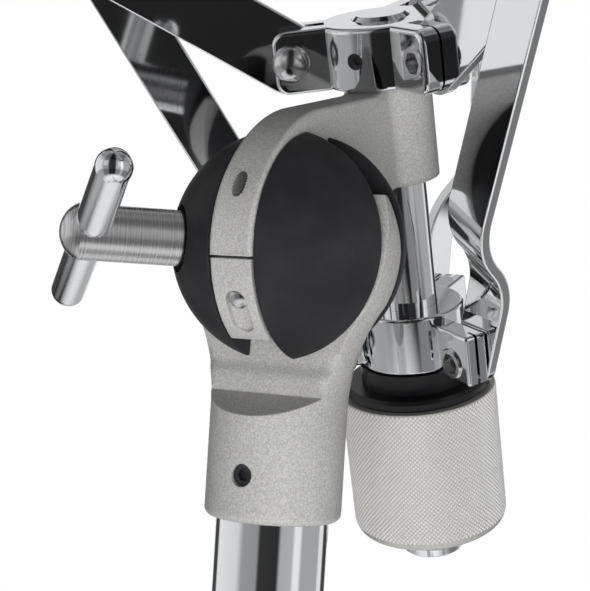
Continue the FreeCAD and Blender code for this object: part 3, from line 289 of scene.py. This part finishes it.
def ball_finish(colours):
    """Moulded nylon with a fine even grain."""
    finish = Finish("black_nylon")
    grain = finish.noise(2600, 3, 0.6)
    rub = finish.noise(45, 4, 0.6)
    tone = finish.blend(rub.over(0.4, 0.75), colours.ball, shade(colours.ball, 1.7))
    return finish.set(Base_Color=tone, Roughness=0.44 + grain * 0.16, Specular_IOR_Level=0.15,
                      Normal=finish.bump(grain, 0.12, 0.0001))


def rubber_finish(colours):
    """Moulded rubber, matte, with dust in its grain."""
    finish = Finish("black_rubber")
    grain = finish.noise(1400, 4, 0.65)
    dust = finish.noise(60, 4, 0.6).over(0.45, 0.8)
    tone = finish.blend(dust, colours.rubber, shade(colours.rubber, 2.0))
    return finish.set(Base_Color=tone, Roughness=0.62 + grain * 0.22, Normal=finish.bump(grain, 0.25, 0.0002))


def nut_finish(colours, depth):
    """Satin turned alloy, with painted shade down in the grooves of the knurl."""
    finish = Finish("satin_alloy")
    grain = finish.noise(2200, 3, 0.6)
    # Painted shade: the colour darkens from the diamonds' crests down into the grooves.
    crest_above_painted_shade = finish.off_post().over(NUT_RADIUS - depth, NUT_RADIUS - depth * 0.55)
    tone = finish.blend(crest_above_painted_shade * 0.85 + grain * 0.15, shade(colours.nut, 0.55), shade(colours.nut, 1.08))
    return finish.set(Base_Color=tone, Metallic=0.35, Roughness=0.32 + grain * 0.14)


def steel_finish(colours):
    """Turned steel of the clamping bolt, with the tool's fine rings."""
    finish = Finish("turned_steel")
    along = finish.along_axis(BALL, BOLT_AXIS, UP)[2]
    turned = finish.node("ShaderNodeTexNoise", {"noise_dimensions": "1D"}, W=along, Scale=2600.0, Detail=4.0)
    rings = Flow(finish.tree, turned.outputs["Fac"])
    tone = finish.blend(rings.over(0.3, 0.7), shade(colours.steel, 0.8), shade(colours.steel, 1.2))
    return finish.set(Base_Color=tone, Metallic=1.0, Roughness=0.14 + rings * 0.2)


def zinc_finish(colours, name="bright_zinc", painted_shade_factor=1.0):
    """Zinc plate with a faint grain, bright, or darkened by a factor as painted shade."""
    finish = Finish(name)
    grain = finish.noise(900, 3, 0.6)
    # Painted shade: the factor darkens the whole zinc colour.
    tone = finish.blend(grain, shade(colours.zinc, 0.85 * painted_shade_factor), shade(colours.zinc, 1.1 * painted_shade_factor))
    return finish.set(Base_Color=tone, Metallic=1.0, Roughness=0.14 + grain * 0.14)


def dark_finish(name, tone, rough):
    """Dark small parts: black oxide screws, the nylon bush and the nut's washer."""
    finish = Finish(name)
    grain = finish.noise(1500, 3, 0.6)
    tone = finish.blend(grain, shade(tone, 0.8), shade(tone, 1.4))
    return finish.set(Base_Color=tone, Roughness=rough + grain * 0.15)


def make_finishes(colours, sizes):
    """One material for each slot of the record."""
    return {
        "cast_alloy": casting_finish(colours),
        "chrome": chrome_finish(colours),
        "black_nylon": ball_finish(colours),
        "rubber": rubber_finish(colours),
        "satin_alloy": nut_finish(colours, sizes.knurl_depth),
        "zinc": zinc_finish(colours),
        "black_steel": dark_finish("black_oxide", (0.02, 0.02, 0.022), 0.3),
        "bush_nylon": dark_finish("bush_nylon", (0.03, 0.03, 0.032), 0.45),
    }


def give(piece, material):
    piece.data.materials.clear()
    piece.data.materials.append(material)


def deselect():
    if bpy.context.mode != "OBJECT":
        bpy.ops.object.mode_set(mode="OBJECT")
    bpy.ops.object.select_all(action="DESELECT")


class STAND_OT_finishes(bpy.types.Operator):
    """Give every solid of the stand its finish"""
    bl_idname = "stand.finishes"
    bl_label = "Finishes"

    def execute(self, context):
        finishes = make_finishes(context.scene.stand_colours, context.scene.stand_sizes)
        for name, piece in frame["nodes"].items():
            give(piece, finishes[SLOTS[name]])
        give(frame["nodes"]["t_bolt"], steel_finish(context.scene.stand_colours))
        give(frame["nodes"]["rubber_washer"], dark_finish("black_washer", (0.005, 0.005, 0.006), 0.3))
        return {"FINISHED"}


def start_mesh(name):
    """The object just added, under its own name."""
    piece = bpy.context.object
    piece.name = name
    return piece


def choose(piece, kind, test):
    """Select, in edit mode, the vertices or edges that the test picks."""
    bpy.ops.object.mode_set(mode="EDIT")
    bpy.ops.mesh.select_mode(type=kind)
    bpy.ops.mesh.select_all(action="DESELECT")
    bpy.ops.object.mode_set(mode="OBJECT")
    mesh = piece.data
    if kind == "VERT":
        for vertex in mesh.vertices:
            vertex.select = test(vertex.co)
    else:
        for edge in mesh.edges:
            edge.select = test(*(mesh.vertices[v].co for v in edge.vertices))
    bpy.ops.object.mode_set(mode="EDIT")


def step_out(radius_now, radius_next, rise):
    """Extrude the selected loop about the Z axis to another radius and height."""
    bpy.ops.mesh.extrude_region_move(TRANSFORM_OT_translate={"value": (0, 0, rise)})
    ratio = radius_next / radius_now
    if abs(ratio - 1) > 1e-9:
        bpy.ops.transform.resize(value=(ratio, ratio, 1), center_override=(0, 0, 0))


def settle(piece, place, body, material):
    """Put a finished piece in its place, with its place in its mesh, and let it ride."""
    deselect()
    piece.select_set(True)
    bpy.context.view_layer.objects.active = piece
    piece.matrix_world = place
    bpy.ops.object.transform_apply(location=True, rotation=True, scale=True)
    give(piece, material)
    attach(piece, body)


def frame_on(point, normal, along):
    """A place whose Z is the normal and whose X lies along a direction."""
    z = normal.normalized()
    x = (along - z * along.dot(z)).normalized()
    turn = Matrix((x, z.cross(x), z)).transposed()
    return Matrix.Translation(point) @ turn.to_4x4()


class STAND_OT_nut(bpy.types.Operator):
    """Model the basket nut with its diamond knurl"""
    bl_idname = "stand.nut"
    bl_label = "Knurled nut"

    def execute(self, context):
        deselect()
        sizes = context.scene.stand_sizes
        columns, rows = 2 * sizes.knurl_count, sizes.knurl_rows
        height = KNURL_HIGH - KNURL_LOW
        middle = (KNURL_HIGH + KNURL_LOW) / 2
        bpy.ops.mesh.primitive_cylinder_add(vertices=columns, radius=NUT_RADIUS - sizes.knurl_depth,
                                            depth=height, end_fill_type="NOTHING", location=(0, 0, middle))
        piece = start_mesh("knurled_nut")
        bpy.ops.object.transform_apply(location=True)
        choose(piece, "EDGE", lambda a, b: abs(a.z - b.z) > height / 2)
        bpy.ops.mesh.subdivide(number_cuts=rows - 1)
        self.knurl(piece, columns, rows, height, sizes.knurl_depth)
        self.lower_end(piece, sizes.knurl_depth)
        self.upper_end(piece, sizes.knurl_depth)
        bpy.ops.mesh.select_all(action="SELECT")
        bpy.ops.mesh.remove_doubles(threshold=TOUCH)
        bpy.ops.mesh.normals_make_consistent(inside=False)
        bpy.ops.object.mode_set(mode="OBJECT")
        place = frame_on(NUT_POINT, POST_AXIS, TILT_AXIS)
        settle(piece, place, "nut", frame["nodes"]["basket_nut"].data.materials[0])
        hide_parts("basket_nut")
        return {"FINISHED"}

    def knurl(self, piece, columns, rows, height, depth):
        """Push every second point out, so that each becomes the tip of a diamond."""
        def tip(co):
            row = round((co.z - KNURL_LOW) / height * rows)
            column = round(math.atan2(co.y, co.x) / math.tau * columns)
            return (row + column) % 2 == 0 and 0 < row < rows
        choose(piece, "VERT", tip)
        ratio = NUT_RADIUS / (NUT_RADIUS - depth)
        bpy.ops.transform.resize(value=(ratio, ratio, 1), center_override=(0, 0, 0))
        bpy.ops.mesh.select_all(action="SELECT")
        bpy.ops.mesh.quads_convert_to_tris(quad_method="SHORTEST_DIAGONAL")

    def lower_end(self, piece, depth):
        """Round the lower edge and turn in to the stud's bore."""
        choose(piece, "VERT", lambda co: co.z < KNURL_LOW + TOUCH)
        inner = NUT_RADIUS - depth
        now, at = inner, KNURL_LOW
        for step in range(1, ROUND_STEPS + 1):
            angle = math.pi / 2 * step / ROUND_STEPS
            radius = inner - NUT_ROUND * (1 - math.cos(angle))
            level = KNURL_LOW - (KNURL_LOW - NUT_LOW) * math.sin(angle)
            step_out(now, radius, level - at)
            now, at = radius, level
        step_out(now, BOSS_RADIUS, 0)
        step_out(BOSS_RADIUS, BOSS_RADIUS - BOSS_TAPER, -BOSS_DROP)
        step_out(BOSS_RADIUS - BOSS_TAPER, STUD_BORE + BORE_BEVEL, 0)
        step_out(STUD_BORE + BORE_BEVEL, STUD_BORE, BORE_BEVEL)
        step_out(STUD_BORE, STUD_BORE, COUNTERBORE - NUT_LOW + BOSS_DROP - BORE_BEVEL)
        step_out(STUD_BORE, POST_BORE, 0)
        step_out(POST_BORE, POST_BORE, NUT_HIGH - COUNTERBORE)

    def upper_end(self, piece, depth):
        """Bevel the upper edge and close in on the post's bore."""
        choose(piece, "VERT", lambda co: abs(co.z - KNURL_HIGH) < TOUCH and co.xy.length > NUT_RADIUS / 2)
        inner = NUT_RADIUS - depth
        step_out(inner, inner - NUT_EDGE, NUT_HIGH - KNURL_HIGH)
        step_out(inner - NUT_EDGE, POST_BORE, 0)


class STAND_OT_stud_cap(bpy.types.Operator):
    """Model the chrome cap that keeps the nut on the stud"""
    bl_idname = "stand.stud_cap"
    bl_label = "Stud cap"

    def execute(self, context):
        deselect()
        bpy.ops.mesh.primitive_circle_add(vertices=CAP_SIDES, radius=CAP_STEM,
                                          location=(0, 0, STUD_END + STEM_SINK))
        piece = start_mesh("stud_cap")
        bpy.ops.object.transform_apply(location=True)
        choose(piece, "VERT", lambda co: True)
        step_out(CAP_STEM, CAP_STEM, CAP_HIGH - STUD_END - STEM_SINK)
        step_out(CAP_STEM, CAP_RADIUS - CAP_ROUND, 0)
        step_out(CAP_RADIUS - CAP_ROUND, CAP_RADIUS, -CAP_ROUND)
        step_out(CAP_RADIUS, CAP_RADIUS, CAP_LOW - CAP_HIGH + 2 * CAP_ROUND)
        step_out(CAP_RADIUS, CAP_RADIUS - CAP_ROUND, -CAP_ROUND)
        bpy.ops.mesh.edge_face_add()
        choose(piece, "VERT", lambda co: co.z > STUD_END)
        bpy.ops.mesh.edge_face_add()
        bpy.ops.mesh.select_all(action="SELECT")
        bpy.ops.mesh.normals_make_consistent(inside=False)
        place = frame_on(NUT_POINT, POST_AXIS, TILT_AXIS)
        settle(piece, place, "tilter", frame["nodes"]["basket_post"].data.materials[0])
        return {"FINISHED"}


class STAND_OT_serration(bpy.types.Operator):
    """Model the small serrated pad on the tilter's band"""
    bl_idname = "stand.serration"
    bl_label = "Band serration"

    def execute(self, context):
        deselect()
        pitch = context.scene.stand_sizes.serration_pitch
        rings = 2 * round(SERRATION_LENGTH / pitch)
        bpy.ops.mesh.primitive_cylinder_add(vertices=PAD_SIDES, radius=SERRATION_WIDTH / 2,
                                            depth=SERRATION_LENGTH, end_fill_type="TRIFAN",
                                            rotation=(math.pi / 2, 0, 0))
        piece = start_mesh("band_serration")
        bpy.ops.object.transform_apply(rotation=True)
        choose(piece, "EDGE", lambda a, b: abs(a.y - b.y) > SERRATION_LENGTH / 2)
        bpy.ops.mesh.subdivide(number_cuts=rings - 1)
        for ring in range(rings + 1):
            along = ring / rings * 2 - 1
            level = along * SERRATION_LENGTH / 2
            choose(piece, "VERT",
                   lambda co: abs(co.y - level) < pitch / 8 and co.xz.length > SERRATION_WIDTH / 4)
            swell = math.sqrt(max(1 - abs(along) ** 3, PAD_END)) * (1 if ring % 2 else GROOVE)
            bpy.ops.transform.resize(value=(swell, 1, swell), center_override=(0, level, 0))
        bpy.ops.mesh.select_all(action="SELECT")
        flat = 2 * SERRATION_RISE / SERRATION_WIDTH
        bpy.ops.transform.resize(value=(1, 1, flat), center_override=(0, 0, 0))
        bpy.ops.mesh.normals_make_consistent(inside=False)
        tilt_turn = Matrix.Rotation(math.radians(BASKET_TILT), 3, TILT_AXIS)
        front = TILT_AXIS.cross(UP)
        angle = math.radians(SERRATION_ANGLE)
        outward = tilt_turn @ (front * math.cos(angle) + UP * math.sin(angle))
        place = frame_on(BALL + outward * (RING_RADIUS + PAD_LIFT), outward, TILT_AXIS)
        # Painted shade: the pad gets a copy of the zinc darkened to 0.3, for the shade it sits in.
        settle(piece, place, "tilter", zinc_finish(context.scene.stand_colours, "zinc_painted_shade", 0.3))
        return {"FINISHED"}


class STAND_OT_stage(bpy.types.Operator):
    """Set the floor, the studio light and the camera"""
    bl_idname = "stand.stage"
    bl_label = "Studio"

    def execute(self, context):
        deselect()
        colours = context.scene.stand_colours
        self.floor(colours)
        self.world(context.scene)
        self.lamps(context)
        self.camera(context.scene)
        context.scene.view_settings.view_transform = "Standard"
        return {"FINISHED"}

    def floor(self, colours):
        """A pale floor under the stand that fades out into the white background."""
        bpy.ops.mesh.primitive_plane_add(size=FLOOR_SIZE, location=(0, 0, 0))
        ground = bpy.context.object
        ground.name = "studio_floor"
        finish = Finish("studio_floor")
        grain = finish.noise(30, 2, 0.5)
        tone = finish.blend(grain, shade(colours.floor, 0.98), shade(colours.floor, 1.02))
        length = finish.node("ShaderNodeVectorMath", {"operation": "LENGTH"}, Vector=finish.place)
        reach = Flow(finish.tree, length.outputs["Value"])
        give(ground, finish.set(Base_Color=tone, Roughness=0.8, Alpha=1 - reach.over(*FLOOR_FADE)))

    def world(self, scene):
        """White to the camera; for metal, a room whose level changes with azimuth; a dim fill for the rest."""
        world = bpy.data.worlds.new("studio")
        scene.world = world
        world.use_nodes = True
        tree = world.node_tree
        tree.nodes.clear()
        path = tree.nodes.new("ShaderNodeLightPath")
        toward = tree.nodes.new("ShaderNodeTexCoord")
        parts = tree.nodes.new("ShaderNodeSeparateXYZ")
        tree.links.new(toward.outputs["Generated"], parts.inputs[0])
        across, away, up = (Flow(tree, parts.outputs[n]) for n in range(3))
        azimuth = across.math("ARCTAN2", away * -1)
        ramp = tree.nodes.new("ShaderNodeValToRGB")
        stops = ramp.color_ramp.elements
        for place, (degrees, level) in enumerate(ROOM):
            if 0 < place < len(ROOM) - 1:
                stops.new(0.5 + degrees / 360)
            stop = stops[place]
            stop.position = 0.5 + degrees / 360
            stop.color = (level, level, level, 1)
        tree.links.new((azimuth * (1 / math.tau) + 0.5).socket, ramp.inputs[0])
        ceiling = 1 - up.over(*CEILING) * CEILING_DIM
        room = Flow(tree, ramp.outputs[0]) * ceiling * (1 - (up * -1).over(*GROUND) * GROUND_DIM)
        fill = FILL - up.over(*FILL_RISE) * FILL_DIM
        camera, through, glossy = (Flow(tree, path.outputs[f"Is {ray} Ray"])
                                   for ray in ("Camera", "Transmission", "Glossy"))
        seen = camera.math("MAXIMUM", through)
        strength = seen + (1 - seen) * (glossy * room + (1 - glossy) * fill)
        back = tree.nodes.new("ShaderNodeBackground")
        back.inputs["Color"].default_value = (1, 1, 1, 1)
        tree.links.new(strength.socket, back.inputs["Strength"])
        out = tree.nodes.new("ShaderNodeOutputWorld")
        tree.links.new(back.outputs[0], out.inputs["Surface"])

    def lamps(self, context):
        """Soft lamps round the tilter, and one under it for the floor and the legs."""
        for name, place, aim, size, power, mirrored in LAMPS:
            light = bpy.data.lights.new(name, "AREA")
            light.size = size
            light.energy = power
            lamp = bpy.data.objects.new(name, light)
            lamp.visible_glossy = mirrored
            lamp.visible_camera = False
            lamp.location = place
            lamp.rotation_euler = (aim - Vector(place)).to_track_quat("-Z", "Y").to_euler()
            context.scene.collection.objects.link(lamp)

    def camera(self, scene):
        """The close-up of the tilter: level, a little rolled, on the ball."""
        roll = math.radians(CAMERA_ROLL)
        data = bpy.data.cameras.new("close_up")
        data.sensor_width = SENSOR_WIDTH
        data.sensor_fit = "HORIZONTAL"
        data.lens = CAMERA_LENS
        data.clip_start = 0.01
        camera = bpy.data.objects.new("close_up", data)
        right = Vector((math.cos(roll), 0, math.sin(roll)))
        above = Vector((-math.sin(roll), 0, math.cos(roll)))
        turn = Matrix((right, above, Vector((0, -1, 0)))).transposed()
        camera.matrix_world = Matrix.Translation(CAMERA_PLACE) @ turn.to_4x4()
        scene.collection.objects.link(camera)
        scene.camera = camera


class STAND_PT_panel(bpy.types.Panel):
    """The stand's operators and sizes"""
    bl_idname = "STAND_PT_panel"
    bl_label = "Drum Stand"
    bl_space_type = "VIEW_3D"
    bl_region_type = "UI"
    bl_category = "Drum Stand"

    def draw(self, context):
        for operator in OPERATORS:
            self.layout.operator(operator.bl_idname)
        for group in (context.scene.stand_sizes, context.scene.stand_colours):
            for name in group.__annotations__:
                self.layout.prop(group, name)


OPERATORS = (STAND_OT_stage, STAND_OT_finishes, STAND_OT_nut, STAND_OT_stud_cap, STAND_OT_serration)
CLASSES = (StandSizes, StandColours, *OPERATORS, STAND_PT_panel)


def register():
    for each in CLASSES:
        bpy.utils.register_class(each)
    bpy.types.Scene.stand_sizes = bpy.props.PointerProperty(type=StandSizes)
    bpy.types.Scene.stand_colours = bpy.props.PointerProperty(type=StandColours)


def unregister():
    del bpy.types.Scene.stand_sizes, bpy.types.Scene.stand_colours
    for each in reversed(CLASSES):
        bpy.utils.unregister_class(each)


def main():
    register()
    for operator in OPERATORS:
        group, name = operator.bl_idname.split(".")
        getattr(getattr(bpy.ops, group), name)()


if __name__ == "__main__":
    main()
